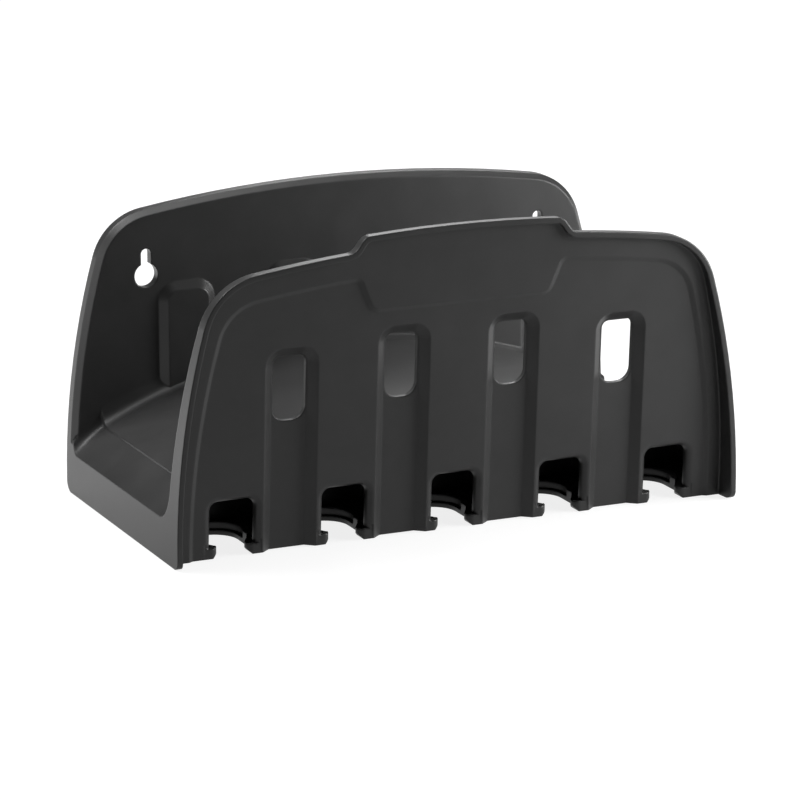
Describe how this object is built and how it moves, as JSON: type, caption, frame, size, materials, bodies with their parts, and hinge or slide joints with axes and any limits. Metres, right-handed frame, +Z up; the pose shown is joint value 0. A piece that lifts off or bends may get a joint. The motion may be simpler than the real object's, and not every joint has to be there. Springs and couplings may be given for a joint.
{
  "type": "hose hanger",
  "caption": "Wall-mounted hose hanger: back panel with keyholes, arched saddle, front panel with snap notches for fittings.",
  "frame": {"origin": "centre of the footprint on the sole", "axes": "+X right as seen from the front, +Y towards the wall, +Z up"},
  "size_m": [0.27, 0.138, 0.1395],
  "materials": {
    "plastic": "satin, fine texture"
  },
  "bodies": {
    "root": {"hanger_body": "plastic"}
  },
  "joints": []
}
